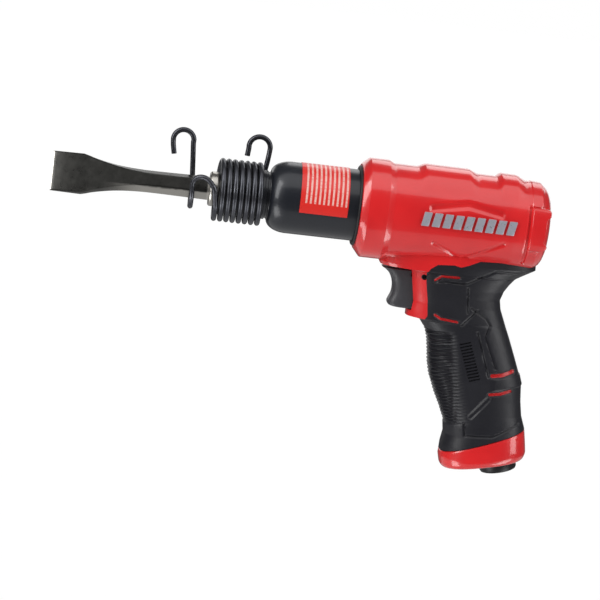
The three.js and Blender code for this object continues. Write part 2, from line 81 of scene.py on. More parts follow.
PIN_X = -65.3
PIN_Z = -33.6
PIN_RADIUS = 1.45
TRIGGER_HALF_WIDTH = 7.3
BEYOND = 40  # a distance to the side that is past every piece

# x, half width, height above the axis, depth below it
BODY_STATIONS = [
    (-105.5, 22.9, 22.9, 22.9),
    (-105.15, 23.4, 23.6, 23.6),
    (-101.8, 25.3, 26.6, 27.5),
    (-101.3, 25.4, 26.8, 27.8),
    (-91.2, 25.4, 26.9, 27.8),
    (-90.8, 25.3, 26.8, 27.7),
    (-88.0, 24.5, 25.4, 26.2),
    (-87.4, 24.5, 25.3, 26.0),
    (-21, 24.4, 24.7, 25.1),
    (-13, 23.9, 24.1, 24.5),
    (-7, 23.4, 23.6, 23.9),
    (-5.0, 22.4, 22.6, 22.9),
    (-3.4, 21.2, 21.3, 21.7),
    (-2.2, 19.4, 19.5, 19.8),
    (-1.2, 16.9, 16.9, 17.0),
    (-0.5, 13.6, 13.6, 13.6),
    (0, 9.0, 9.0, 9.0),
]

# height, front edge, rear edge, half width
HANDLE_STATIONS = [
    (-12, -88, -5, 15.0),
    (-22, -90, -3, 16.4),
    (-24.4, -90.5, -2.8, 16.6),
    (-26.2, -90.2, -6, 16.6),
    (-28.2, -90, -9.6, 16.5),
    (-29.9, -89, -12.5, 16.4),
    (-30.6, -74, -13.6, 16.3),
    (-34, -73.2, -16.3, 16.2),
    (-38, -72.5, -18.8, 16.0),
    (-43, -71.6, -20.3, 15.8),
    (-48, -70.8, -19.3, 15.6),
    (-53, -71.5, -17.1, 15.5),
    (-56.6, -71.5, -15.5, 15.5),
    (-57.6, -64, -15.1, 15.5),
    (-62.5, -60.2, -12.8, 15.6),
    (-68, -58.2, -10.4, 15.9),
    (-75, -57, -7.4, 16.3),
    (-82, -56, -4.5, 16.7),
    (-88.5, -54.3, -2.2, 17.0),
    (-98, -50.2, -1.2, 17.1),
    (-106, -46.1, 0.3, 17.3),
    (-113, -42.8, 3.0, 17.8),
    (-120, -41.7, 4.3, 18.8),
    (-126, -42.6, 5.3, 19.6),
    (-133, -42.8, 5.5, 20.0),
    (-141, -40.8, 5.2, 19.4),
    (-152, -37.5, 4.0, 18.5),
]

# Side view of what the rubber covers: x, z
GRIP_OUTLINE = [
    (-64.4, -31), (-62.8, -28.2), (-59.3, -25.5), (-50, -24.7), (-46.5, -25.5), (-42.4, -24.1),
    (-36, -21.1), (-20, -20.7), (-4, -20.9), (8, -22), (14, -108), (8, -150), (-60, -150),
    (-76, -70), (-74, -57.5), (-62.4, -57.5), (-60.9, -54.5), (-61.9, -46), (-63.9, -36),
]
COLLAR_TOP = ((-43.5, -130.6), (4.4, -112.6))
COLLAR_BOTTOM = ((-41.5, -139.9), (4.6, -129.9))

# Red windows in the rubber, in side view: points and half width
RED_WINDOWS = [
    ([(-59.3, -34.2), (-56.2, -31.7), (-46.6, -31.4)], 0.55),
    ([(-57, -53.4), (-53.6, -55.2), (-44.4, -56.0)], 0.6),
    ([(-21.2, -83.6), (-15.4, -82.8), (-9.4, -80.6)], 0.95),
    ([(-21.2, -94.0), (-15.4, -93.2), (-9.8, -91.4)], 0.75),
]

# Fine grooves in the rubber, in side view
GRIP_GROOVES = [
    [(-60, -35.5), (-54, -34.6), (-42, -34.5), (-26.5, -25.9), (-14.5, -26.3)],
    [(-37.5, -47.5), (-28.5, -52.5), (-25.3, -56.5), (-27.5, -62), (-19.5, -79.5)],
    [(-33.5, -48.5), (-41.5, -57.5)],
    [(-32, -60.5), (-23, -84.5)],
    [(-40.6, -36.8), (-38.9, -50.5)],
    [(-33.2, -111.4), (-32, -118.4), (-16.6, -117.2), (-2.3, -109.4)],
]
GRIP_CHANNEL = [(-21.5, -96.5), (-30.5, -107.5)]  # a wider one below the lower window


# ---------------------------------------------------------------- small helpers


def between(value, low, high):
    """0 below low, 1 above high, and a smooth step in between."""
    t = min(1.0, max(0.0, (value - low) / (high - low)))
    return t * t * (3 - 2 * t)


def along(table, key):
    """The row of a table at a key, straight between its rows, whichever way the keys run."""
    rows = table if table[0][0] < table[-1][0] else table[::-1]
    if key <= rows[0][0]:
        return rows[0][1:]
    for low, high in zip(rows, rows[1:]):
        if key <= high[0]:
            t = (key - low[0]) / (high[0] - low[0])
            return tuple(a + (b - a) * t for a, b in zip(low[1:], high[1:]))
    return rows[-1][1:]


def squared(value, power):
    """A signed power, which squares a circle off."""
    return math.copysign(abs(value) ** power, value)


def height_on(line, x):
    """The height of a sloping line of two points at x."""
    (x0, z0), (x1, z1) = line
    return z0 + (z1 - z0) * (x - x0) / (x1 - x0)


def full_turn(count):
    """Evenly spaced angles round a whole turn."""
    return [2 * math.pi * i / count for i in range(count)]


def distance_to(points, x, z):
    """How far a point of the side view is from a line of points."""
    best = 1e9
    for (x0, z0), (x1, z1) in zip(points, points[1:]):
        dx, dz = x1 - x0, z1 - z0
        t = ((x - x0) * dx + (z - z0) * dz) / (dx * dx + dz * dz)
        t = min(1.0, max(0.0, t))
        best = min(best, math.hypot(x - x0 - t * dx, z - z0 - t * dz))
    return best


def smooth_line(points, steps):
    """A smooth line through points, with a number of steps between each two."""
    ends = [points[0], *points, points[-1]]
    line = []
    for a, b, c, d in zip(ends, ends[1:], ends[2:], ends[3:]):
        for i in range(steps):
            t = i / steps
            line.append(
                tuple(
                    0.5 * (2 * q + (r - p) * t + (2 * p - 5 * q + 4 * r - s) * t * t)
                    + 0.5 * (3 * q - p - 3 * r + s) * t**3
                    for p, q, r, s in zip(a, b, c, d)
                )
            )
    return [*line, tuple(points[-1])]


# ---------------------------------------------------------------- materials


class Number:
    """A value of a shader, on which ordinary arithmetic adds Math nodes."""

    def __init__(self, recipe, socket):
        self.recipe = recipe
        self.socket = socket

    def math(self, operation, *others):
        node = self.recipe.node("ShaderNodeMath", [self, *others], operation=operation)
        return Number(self.recipe, node.outputs[0])

    def __add__(self, other):
        return self.math("ADD", other)

    def __sub__(self, other):
        return self.math("SUBTRACT", other)

    def __rsub__(self, other):
        return (self * -1.0) + other

    def __mul__(self, other):
        return self.math("MULTIPLY", other)

    __radd__ = __add__
    __rmul__ = __mul__

    def step(self, low, high):
        """0 below low and 1 above high, or the other way round where low is the larger."""
        settings = {"interpolation_type": "SMOOTHSTEP"}
        node = self.recipe.node("ShaderNodeMapRange", [self, low, high], **settings)
        return Number(self.recipe, node.outputs[0])


class Recipe:
    """One material, made of nodes."""

    def __init__(self, name):
        self.material = bpy.data.materials.new(name)
        self.material.use_nodes = True
        self.tree = self.material.node_tree
        self.shader = self.tree.nodes["Principled BSDF"]
        self.place = self.node("ShaderNodeTexCoord").outputs["Object"]
        parts = self.node("ShaderNodeSeparateXYZ", [self.place]).outputs
        self.x, self.y, self.z = (Number(self, part) for part in parts)

    def node(self, kind, inputs=(), **settings):
        """A node with its settings, and then the values or links of its sockets."""
        made = self.tree.nodes.new(kind)
        for name, value in settings.items():
            setattr(made, name, value)
        chosen = inputs.items() if isinstance(inputs, dict) else enumerate(inputs)
        for key, value in chosen:
            self.feed(made.inputs[key], value)
        return made

    def feed(self, socket, value):
        """Links a socket, or sets its value."""
        if isinstance(value, Number):
            value = value.socket
        if isinstance(value, bpy.types.NodeSocket):
            self.tree.links.new(value, socket)
        elif isinstance(value, tuple) and len(value) == 3 and len(socket.default_value) == 4:
            socket.default_value = (*value, 1.0)
        else:
            socket.default_value = value

    def noise(self, size, detail=3.0, stretch=(1, 1, 1)):
        """Noise with features of a size in millimetres, stretched along the axes."""
        scaled = self.node("ShaderNodeMapping", {"Vector": self.place, "Scale": Vector(stretch)})
        inputs = {"Vector": scaled.outputs[0], "Scale": 1 / (size * MM), "Detail": detail}
        return Number(self, self.node("ShaderNodeTexNoise", inputs).outputs[0])

    def blend(self, share, first, second):
        """A colour between two colours."""
        node = self.node("ShaderNodeMix", data_type="RGBA")
        for key, value in ((0, share), (6, first), (7, second)):
            self.feed(node.inputs[key], value)
        return node.outputs[2]

    def bump(self, height, depth):
        """A surface normal from a height of 0 to 1 that stands for a depth in millimetres."""
        inputs = {"Height": height, "Distance": depth * MM, "Strength": 1.0}
        return self.node("ShaderNodeBump", inputs).outputs[0]

    def finish(self, **sockets):
        """Sets the shader's own sockets, named with spaces as underscores."""
        for key, value in sockets.items():
            self.feed(self.shader.inputs[key.replace("_", " ")], value)
        return self.material


def red_enamel():
    """Gloss enamel on a casting: a clear coat with faint orange peel over slightly uneven red."""
    r = Recipe("red_enamel")
    drift = r.noise(26, 2)
    colour = r.blend(drift.step(0.3, 0.7), (0.66, 0.010, 0.013), (0.74, 0.014, 0.016))
    peel = r.bump(r.noise(1.6, 2), 0.012)
    return r.finish(
        Base_Color=colour, Roughness=r.noise(9) * 0.12 + 0.26, Normal=peel,
        Coat_Weight=1.0, Coat_Roughness=0.1, Coat_IOR=1.5,
    )


def moulded_rubber():
    """Matt grip rubber with a fine moulded grain, and the red core in its windows."""
    r = Recipe("moulded_rubber")
    grain = r.noise(0.55, 4)
    cloud = r.noise(14, 3)
    black = r.blend(cloud, (0.005, 0.005, 0.008), (0.011, 0.011, 0.016))
    window = None
    for points, half in RED_WINDOWS:
        for start, end in zip(points, points[1:]):
            near = capsule(r, start, end, half)
            window = near if window is None else window.math("MAXIMUM", near)
    return r.finish(
        Base_Color=r.blend(window, black, (0.55, 0.012, 0.014)),
        Roughness=grain * 0.12 + cloud * 0.08 + 0.34 - window * 0.15,
        Normal=r.bump(grain * (1 - window), 0.035),
    )


def capsule(r, start, end, half):
    """1 within a distance of a straight line of the side view, and 0 outside it."""
    (x0, z0), (x1, z1) = start, end
    dx, dz = (x1 - x0) * MM, (z1 - z0) * MM
    px = r.x - x0 * MM
    pz = r.z - z0 * MM
    t = (px * dx + pz * dz) * (1 / (dx * dx + dz * dz))
    t = t.math("MINIMUM", 1.0).math("MAXIMUM", 0.0)
    ax = px - t * dx
    az = pz - t * dz
    return (ax * ax + az * az).math("SQRT").step((half + 0.12) * MM, (half - 0.05) * MM)


def barrel_black():
    """Satin black coating over a turned steel barrel."""
    r = Recipe("barrel_black")
    turning = r.noise(3.0, 4, (12, 1, 1))
    speck = r.noise(0.5, 3)
    colour = r.blend(turning, (0.007, 0.009, 0.014), (0.015, 0.017, 0.024))
    return r.finish(
        Base_Color=colour, Roughness=turning * 0.10 + speck * 0.08 + 0.29, Metallic=0.25,
        Normal=r.bump(turning * 0.6 + speck * 0.4, 0.012), Coat_Weight=0.45, Coat_Roughness=0.16,
    )


def spring_wire():
    """Dark oil-tempered wire with faint draw marks and worn patches."""
    r = Recipe("spring_wire")
    scale = r.noise(2.2, 5)
    worn = r.noise(7, 3).step(0.56, 0.72)
    colour = r.blend(worn, (0.07, 0.072, 0.083), (0.12, 0.124, 0.138))
    return r.finish(
        Base_Color=colour, Metallic=0.85, Roughness=scale * 0.16 + 0.24 - worn * 0.05,
        Normal=r.bump(scale, 0.02),
    )


def forged_steel():
    """Oil-blackened forging, ground bright at the cutting edge and turned bright at the collar, with a
    painted reflection that lightens the blade's lower facet.
    """
    r = Recipe("forged_steel")
    mottle = r.noise(3.5, 5)
    pits = r.noise(1.1, 3)
    edge = r.x.step(-272.4 * MM, -272.7 * MM)
    collar = r.x.step(-188.8 * MM, -188.0 * MM)
    dark = r.blend(mottle, (0.052, 0.052, 0.049), (0.098, 0.096, 0.09))
    bright = (0.56, 0.54, 0.50)
    # Height across the blade, before it is turned in its socket.
    tilt = math.radians(CHISEL_TURN)
    across = r.z * math.cos(tilt) + r.y * math.sin(tilt)
    # Painted reflection: the lower facet of the blade is made lighter in the colour, standing for the
    # table's light reflected there.
    painted_low_sheen = (across + mottle * (1.2 * MM)).step(-2.8 * MM, -3.6 * MM)
    painted_low_sheen = painted_low_sheen * r.x.step(-246 * MM, -222 * MM)
    colour = r.blend(painted_low_sheen * 0.75, r.blend(edge.math("MAXIMUM", collar), dark, bright), bright)
    return r.finish(
        Base_Color=colour, Metallic=1.0, Roughness=pits * 0.10 + mottle * 0.10 + 0.20,
        Normal=r.bump(pits * 0.4 + mottle * 0.6, 0.015),
    )


def trigger_grey():
    """Satin glass-filled plastic."""
    r = Recipe("trigger_grey")
    grain = r.noise(0.45, 3)
    cloud = r.noise(8, 2)
    colour = r.blend(cloud, (0.040, 0.040, 0.045), (0.055, 0.055, 0.062))
    return r.finish(Base_Color=colour, Roughness=grain * 0.14 + 0.36, Normal=r.bump(grain, 0.02))


def plain_label():
    """Red film with plain pale bars, and no text."""
    r = Recipe("plain_label")
    first, pitch, count = -136.6 * MM, 2.42 * MM, 10
    angle = r.z.math("ARCTAN2", r.y * -1.0)  # 0 on the near side, growing up over the top
    slot = (r.x - first) * (1 / pitch)
    offset = (slot.math("FRACT") - 0.5).math("ABSOLUTE")
    bar = offset.step(0.25, 0.19)
    bar = bar * slot.step(0.0, 0.05) * slot.step(count, count - 0.05)
    bar = bar * angle.step(0.02, 0.03) * angle.step(1.64, 1.62)
    fleck = r.noise(0.9, 2, (0.3, 1, 1)).step(0.36, 0.5) * 0.35 + 0.5
    colour = r.blend(bar * fleck, (0.72, 0.022, 0.016), (0.86, 0.56, 0.50))
    return r.finish(Base_Color=colour, Roughness=r.noise(4) * 0.1 + 0.34, Coat_Weight=0.3)


def metal(name, colour, roughness, size=1.5, stretch=(1, 1, 1), metallic=1.0, depth=0.01):
    """A worked metal: uneven tone, uneven roughness and fine tool marks."""
    r = Recipe(name)
    marks = r.noise(size, 4, stretch)
    low = tuple(c * 0.82 for c in colour)
    return r.finish(
        Base_Color=r.blend(marks, low, colour), Metallic=metallic,
        Roughness=marks * 0.16 + (roughness - 0.08), Normal=r.bump(marks, depth),
    )


def soft(name, colour, roughness, size=1.0, depth=0.02):
    """Rubber, plastic or felt: uneven tone and a fine grain."""
    r = Recipe(name)
    grain = r.noise(size, 4)
    low = tuple(c * 0.75 for c in colour)
    return r.finish(
        Base_Color=r.blend(grain, low, colour), Roughness=grain * 0.15 + (roughness - 0.07),
        Normal=r.bump(grain, depth),
    )


RED = red_enamel()
RUBBER = moulded_rubber()
BARREL = barrel_black()
WIRE = spring_wire()
FORGED = forged_steel()
TRIGGER = trigger_grey()
LABEL = plain_label()
SILVER = metal("badge_silver", (0.52, 0.53, 0.60), 0.30, 0.9, metallic=0.45, depth=0.03)
OXIDE = metal("black_oxide", (0.012, 0.012, 0.014), 0.38, 0.8, metallic=0.35)
GROUND = metal("ground_steel", (0.58, 0.59, 0.60), 0.26, 1.2, (6, 1, 1))
BRASS = metal("machined_brass", (0.66, 0.47, 0.20), 0.30, 1.0, (6, 1, 1))
NITRILE = soft("nitrile", (0.014, 0.014, 0.015), 0.5)
FELT = soft("felt", (0.32, 0.30, 0.26), 0.95, 0.6, 0.15)


# ---------------------------------------------------------------- modelling


def select_only(piece):
    """Makes a piece the only selected and the active one."""
    bpy.ops.object.select_all(action="DESELECT")
    piece.select_set(True)
    bpy.context.view_layer.objects.active = piece


def from_points(name, points, edges=(), faces=()):
    """A new piece from a few points in millimetres, joined by edges or faces."""
    mesh = bpy.data.meshes.new(name)
    mesh.from_pydata([Vector(p) * MM for p in points], edges, faces)
    piece = bpy.data.objects.new(name, mesh)
    bpy.context.scene.collection.objects.link(piece)
    select_only(piece)
    return piece


def edit(piece, *steps):
    """Runs operators in edit mode on the whole of a piece, each a function and its settings."""
    select_only(piece)
    bpy.ops.object.mode_set(mode="EDIT")
    for operator, settings in steps:
        bpy.ops.mesh.select_all(action="SELECT")
        operator(**settings)
    bpy.ops.object.mode_set(mode="OBJECT")


def outward(piece):
    """Merges doubles and turns every face outwards."""
    edit(
        piece,
        (bpy.ops.mesh.remove_doubles, {"threshold": 0.004 * MM}),
        (bpy.ops.mesh.normals_make_consistent, {"inside": False}),
    )


def modify(piece, kind, **settings):
    """Adds a modifier and applies it."""
    select_only(piece)
    modifier = piece.modifiers.new(kind.lower(), kind)
    for key, value in settings.items():
        setattr(modifier, key, value)
    bpy.ops.object.modifier_apply(modifier=modifier.name)


def joined(pieces):
    """Several pieces made one, without a boolean."""
    select_only(pieces[0])
    for piece in pieces[1:]:
        piece.select_set(True)
    bpy.ops.object.join()
    return pieces[0]


def cut(piece, *cutters, operation="DIFFERENCE"):
    """Cuts pieces out of a piece, or joins them to it, and removes them."""
    for cutter in cutters:
        modify(piece, "BOOLEAN", operation=operation, object=cutter, solver="EXACT")
        bpy.data.objects.remove(cutter)


def turned(name, outline, steps=96, place=None):
    """A piece turned about the X axis from (x, radius) points, closed on the axis or on itself."""
    on_axis = outline[0][1] == 0
    edges = [(i, i + 1) for i in range(len(outline) - 1)]
    if not on_axis:
        edges.append((len(outline) - 1, 0))
    piece = from_points(name, [(x, 0, r) for x, r in outline], edges)
    spin = {"steps": steps, "angle": 2 * math.pi, "center": (0, 0, 0), "axis": (1, 0, 0)}
    edit(piece, (bpy.ops.mesh.spin, spin))
    outward(piece)
    if place is not None:
        piece.data.transform(place)
    return piece


def plate(name, outline, y0, y1, bevel=0.0, segments=4):
    """A plate with an outline of (x, z) points, between two values of y, with rounded edges."""
    face = [tuple(range(len(outline)))]
    piece = from_points(name, [(x, y0, z) for x, z in outline], (), face)
    move = {"TRANSFORM_OT_translate": {"value": (0, (y1 - y0) * MM, 0)}}
    edit(piece, (bpy.ops.mesh.extrude_region_move, move))
    outward(piece)
    if bevel:
        angle = math.radians(40)
        modify(
            piece, "BEVEL", width=bevel * MM, segments=segments, limit_method="ANGLE", angle_limit=angle
        )
    return piece


def rod(name, start, end, radius, bevel=0.0, steps=32):
    """A rod between two points."""
    a, b = Vector(start), Vector(end)
    length = (b - a).length
    outline = [(0, 0), (0, radius), (length, radius), (length, 0)]
    if bevel:
        outline = [
            (0, 0), (0, radius - bevel), (bevel, radius),
            (length - bevel, radius), (length, radius - bevel), (length, 0),
        ]
    turn = (b - a).to_track_quat("X", "Z").to_matrix().to_4x4()
    return turned(name, outline, steps, Matrix.Translation(a * MM) @ turn)


def lofted(name, rings):
    """A closed skin over rings of points, with a fan of faces on each end."""
    count = len(rings[0])
    points = [p for ring in rings for p in ring]
    faces = []
    for i in range(len(rings) - 1):
        for j in range(count):
            k = (j + 1) % count
            a, b = i * count, (i + 1) * count
            faces.append((a + j, a + k, b + k, b + j))
    for ring, start in ((rings[0], 0), (rings[-1], (len(rings) - 1) * count)):
        centre = sum((Vector(p) for p in ring), Vector()) / count
        points.append(tuple(centre))
        for j in range(count):
            faces.append((start + j, start + (j + 1) % count, len(points) - 1))
    piece = from_points(name, points, (), faces)
    outward(piece)
    return piece


def wire(name, points, radius, sides=5):
    """A round wire along a list of points, with flat closed ends."""
    curve = bpy.data.curves.new(name, "CURVE")
    curve.dimensions = "3D"
    curve.bevel_depth = radius * MM
    curve.bevel_resolution = sides
    curve.use_fill_caps = True
    spline = curve.splines.new("POLY")
    spline.points.add(len(points) - 1)
    for place, point in zip(spline.points, points):
        place.co = (*(Vector(point) * MM), 1)
    piece = bpy.data.objects.new(name, curve)
    bpy.context.scene.collection.objects.link(piece)
    select_only(piece)
    bpy.ops.object.convert(target="MESH")
    piece = bpy.context.view_layer.objects.active
    outward(piece)
    return piece


def finish(piece, material, body=BODY, stands_for=(), smooth=35):
    """Gives a piece its finish, its body and the CAD nodes that it stands for."""
    select_only(piece)
    piece.data.materials.clear()
    piece.data.materials.append(material)
    bpy.ops.object.shade_smooth_by_angle(angle=math.radians(smooth))
    if stands_for:
        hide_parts(*stands_for)
    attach(piece, body)
    return piece


# ---------------------------------------------------------------- housing

BODY_POWER = 2.2  # 2 is an ellipse, and more is squarer
RELIEF_FRONT_X, RELIEF_REAR_X = -87, -6
RELIEF_RINGS, RELIEF_PITCH = 153, 0.55
ROOF_BLOCKS = [(-76, -70, -47.5, -41), (-32, -28.5, -21, -14.5)]
ROOF_RISE = 2.0
ROOF_FADE = (13.5, 24.0)  # heights between which the roof blocks grow
CHEVRON_TOP = [(-69.5, 8.6), (-47.4, 12.6), (-26.5, 9.0)]
CHEVRON_DEPTH = 1.0
CHEVRON_FLOOR = 1.3  # height of the sunk channel between its two sloping walls
CHEVRON_WALL = 2.3
SIDE_GROOVE = (-14.6, -13.8, -12.8, -12.3)  # where it starts, is deep, is deep no more, and ends
SIDE_GROOVE_DEPTH = 0.8
SIDE_GROOVE_TOP = 13.2
CAP_STEP = 0.45
CAP_STEP_X = (-12.9, -12.3)
CAP_STEP_HEIGHT = 12.6
LOWER_VEE = [(-64, -13.2), (-54.5, -17.4), (-47.8, -21.6), (-37, -15.8), (-26, -9.6)]
LOWER_VEE_DEPTH = 0.7


def body_relief(x, y, z):
    """How far the casting's surface stands out or is sunk at a point of it, in millimetres."""
    rise = 0.0
    for start, full, full_end, end in ROOF_BLOCKS:
        share = between(x, start, full) * (1 - between(x, full_end, end))
        rise += ROOF_RISE * share * between(z, *ROOF_FADE)
    if abs(y) > 15:
        (x0, z0), (xm, zm), (x1, z1) = CHEVRON_TOP
        if x0 < x < x1:
            top = z0 + (zm - z0) * (x - x0) / (xm - x0)
            if x > xm:
                top = zm + (z1 - zm) * (x - xm) / (x1 - xm)
            down = top - z
            deep = between(down, 0.0, CHEVRON_WALL)
            back = between(down, CHEVRON_WALL + CHEVRON_FLOOR, 2 * CHEVRON_WALL + CHEVRON_FLOOR)
            ends = between(x, x0, x0 + 2.2) * (1 - between(x, x1 - 2.5, x1))
            rise -= CHEVRON_DEPTH * (deep - back) * ends
        start, full, full_end, end = SIDE_GROOVE
        share = between(x, start, full) * (1 - between(x, full_end, end))
        rise -= SIDE_GROOVE_DEPTH * share * between(SIDE_GROOVE_TOP - z, 0, 1.2)
    if z > CAP_STEP_HEIGHT:
        rise += CAP_STEP * between(x, *CAP_STEP_X)
    if z < -5:
        near = distance_to(LOWER_VEE, x, z)
        rise -= LOWER_VEE_DEPTH * (1 - between(near, 0.2, 1.4))
    return rise


def body_point(x, angle):
    """A point of the upper body's surface, the angle being measured from +Y up over the top."""
    half, top, bottom = along(BODY_STATIONS, x)
    up = math.sin(angle)
    height = top if up > 0 else bottom
    y = half * squared(math.cos(angle), 2 / BODY_POWER)
    z = height * squared(up, 2 / BODY_POWER)
    if RELIEF_FRONT_X < x < RELIEF_REAR_X:
        r = math.hypot(y, z)
        out = body_relief(x, y, z) / r
        y += y * out
        z += z * out
    return (x, y, z)


def upper_body():
    """The gloss red casting round the barrel, hollow for the barrel and the valve."""
    angles = full_turn(240)
    bore = [
        (VALVE_POCKET_X, VALVE_POCKET_RADIUS), (BARREL_SEAT_X, VALVE_POCKET_RADIUS),
        (BARREL_SEAT_X, BARREL_SEAT_RADIUS), (RIM_X, BARREL_SEAT_RADIUS),
    ]
    rings = [[(x, r * math.cos(a), r * math.sin(a)) for a in angles] for x, r in bore]
    fine = {RELIEF_FRONT_X + RELIEF_PITCH * i for i in range(RELIEF_RINGS)}
    xs = sorted({row[0] for row in BODY_STATIONS} | fine)
    rings += [[body_point(x, a) for a in angles] for x in xs]
    piece = lofted("housing_body", rings)
    return finish(piece, RED, stands_for=["housing"], smooth=24)


HANDLE_POWER = 2.5
NECK_BOTTOM = -57.7
TRIGGER_SLOT = [(-96, -53.4), (-63, -53.4), (-63, -30.9), (-96, -30.9)]
TRIGGER_CLEARANCE = 0.4


def handle_point(z, angle, inset=0.0):
    """A point of the handle's surface, the angle being measured from +X round to +Y."""
    front, rear, half = along(HANDLE_STATIONS, z)
    middle = (front + rear) / 2
    reach = (rear - front) / 2 - inset
    x = middle + reach * squared(math.cos(angle), 2 / HANDLE_POWER)
    y = (half - inset) * squared(math.sin(angle), 2 / HANDLE_POWER)
    return (x, y, z)


def handle_ring(angles, plane, inset=0.0):
    """A ring round the handle whose height at each x is given by a function."""
    ring = []
    for angle in angles:
        z = plane(-20)
        for _ in range(4):  # each pass brings x and the height closer to agreeing
            x = handle_point(z, angle, inset)[0]
            z = plane(x)
        ring.append(handle_point(z, angle, inset))
    return ring


def neck():
    """The red part of the handle: the roof over the trigger, the web behind it and the neck."""
    angles = full_turn(120)
    fine = {-13 - 0.9 * i for i in range(50)}
    heights = sorted({row[0] for row in HANDLE_STATIONS[:14]} | fine)
    rings = [[handle_point(z, a) for a in angles] for z in heights if z > NECK_BOTTOM]
    piece = lofted("housing_neck", rings)
    half = TRIGGER_HALF_WIDTH + TRIGGER_CLEARANCE
    trigger_slot = plate("slot", TRIGGER_SLOT, -half, half, 0.5)
    rubber = plate("rubber", GRIP_OUTLINE, -BEYOND, BEYOND)
    bore = rod("bore", (RIM_X - 4.5, 0, 0), (BARREL_SEAT_X, 0, 0), BARREL_SEAT_RADIUS, steps=96)
    hole = rod("hole", (PIN_X, -BEYOND, PIN_Z), (PIN_X, BEYOND, PIN_Z), PIN_RADIUS + 0.12)
    cut(piece, rubber, trigger_slot, bore, hole)
    outward(piece)
    return finish(piece, RED, stands_for=["housing"], smooth=24)


BOSS_REAR = [  # height, rear edge of the side boss with its two lobes
    (-11.6, -4.8), (-11.2, -3.8), (-10.2, -2.8), (-8.8, -2.3), (-7.6, -2.7), (-6.7, -3.8),
    (6.2, -3.8), (7.2, -2.7), (8.2, -2.0), (10.4, -1.9), (11.4, -2.4), (12.0, -3.4),
]
BOSS_FRONT_X = -12.2
BOSS_RISE = 0.8
BOSS_ROUND = 0.8
BOSS_ROOT_Y = 13.0  # inside the casting
CAP_HALF_WIDTH, CAP_HEIGHT = 23.9, 24.3  # of the casting where the bosses are


def boss_ring(z, inset, side):
    """A section of a side boss at a height, with its outer edges rounded."""
    rear = along(BOSS_REAR, z)[0] - inset
    front = BOSS_FRONT_X + inset
    casting = CAP_HALF_WIDTH * (1 - abs(z / CAP_HEIGHT) ** BODY_POWER) ** (1 / BODY_POWER)
    face = casting + BOSS_RISE - 0.7 * inset
    turns = [math.radians(90 * i / 5) for i in range(6)]
    corner = [(BOSS_ROUND * (1 - math.sin(t)), face - BOSS_ROUND * (1 - math.cos(t))) for t in turns]
    outline = [(front, BOSS_ROOT_Y)]
    outline += [(front + x, y) for x, y in reversed(corner)]
    outline += [(rear - x, y) for x, y in corner]
    outline += [(rear, BOSS_ROOT_Y)]
    return [(x, side * y, z) for x, y in outline]


def rear_bosses():
    """The raised pad on each side of the rear, with two lobes that reach back."""
    levels = [(-11.6, 0.7), (-11.4, 0.3), (-11.0, 0.05)]
    levels += [(-10.6 + 0.4 * i, 0.0) for i in range(56)]
    levels += [(11.8, 0.25), (12.0, 0.7)]
    for name, side in (("left", -1), ("right", 1)):
        piece = lofted("rear_boss_" + name, [boss_ring(z, inset, side) for z, inset in levels])
        finish(piece, RED, stands_for=["housing"], smooth=40)


BADGE_BARS = 9
BADGE_START_X = -72.6
BADGE_PITCH = 5.85
BADGE_BAR_WIDTH = 4.2
BADGE_LEAN = 1.4
BADGE_BOTTOM, BADGE_TOP = -3.9, 3.7
BADGE_INNER_Y, BADGE_OUTER_Y = 24.0, 25.55


def badges():
    """Rows of plain slanted bars on the two sides."""
    for name, side in (("left", -1), ("right", 1)):
        bars = []
        for i in range(BADGE_BARS):
            x = BADGE_START_X + i * BADGE_PITCH
            outline = [
                (x, BADGE_BOTTOM), (x + BADGE_BAR_WIDTH, BADGE_BOTTOM),
                (x + BADGE_BAR_WIDTH + BADGE_LEAN, BADGE_TOP), (x + BADGE_LEAN, BADGE_TOP),
            ]
            y0, y1 = sorted((BADGE_INNER_Y * side, BADGE_OUTER_Y * side))
            bars.append(plate("bar", outline, y0, y1, 0.3, 2))
        row = joined(bars)
        row.name = "side_badge_" + name
        finish(row, SILVER, stands_for=["badge_" + name])


# ---------------------------------------------------------------- grip and collar

RIB_TOP, RIB_BOTTOM, RIB_PITCH = -61.5, -115.0, 1.93
RIB_DEPTH = 1.1
RIB_SLOPE = 0.16
LADDER_LEFT = ((-41.7, -66.9), (-33.5, -88.0))
LADDER_WIDTH = 6.0
LADDER_SLOPE = 0.33
LADDER_SLOTS = 13
LADDER_SLOT_HEIGHT = 0.85
LADDER_DEPTH = 0.8
GROOVE_DEPTH = 0.8
WINDOW_DEPTH = 1.0
STRAP_RISE = 0.55
STRAP_SLOPE = 0.2
SLEEVE_TOP = -19.5
SLEEVE_AROUND, SLEEVE_LEVELS = 320, 280


def grip_relief(x, y, z):
    """How far the rubber stands out or is sunk at a point of it, in millimetres."""
    rise = 0.0
    level = z - RIB_SLOPE * (x + 50)
    wave = 0.5 + 0.5 * math.cos(2 * math.pi * level / RIB_PITCH)
    inside = between(-z, -RIB_TOP, 2.0 - RIB_TOP) * (1 - between(-z, -RIB_BOTTOM - 3, -RIB_BOTTOM))
    front = 1 - between(x, -45 - 0.12 * (z + 90), -34.5 - 0.3 * (z + 90))
    rise -= RIB_DEPTH * (1 - wave**1.5) * inside * front
    if abs(y) > 6:
        for points in GRIP_GROOVES:
            near = distance_to(points, x, z)
            rise -= GROOVE_DEPTH * (1 - between(near, 0.2, 0.8))
        for points, half in RED_WINDOWS:
            near = distance_to(points, x, z)
            rise -= WINDOW_DEPTH * (1 - between(near, half, half + 0.6))
        rise -= GROOVE_DEPTH * (1 - between(distance_to(GRIP_CHANNEL, x, z), 0.7, 2.0))
    level = z - STRAP_SLOPE * (x + 21)
    strap = between(level, -92.6, -91.6) * (1 - between(level, -86.2, -85.2))
    rise += STRAP_RISE * between(x, -22, -19) * strap
    return rise


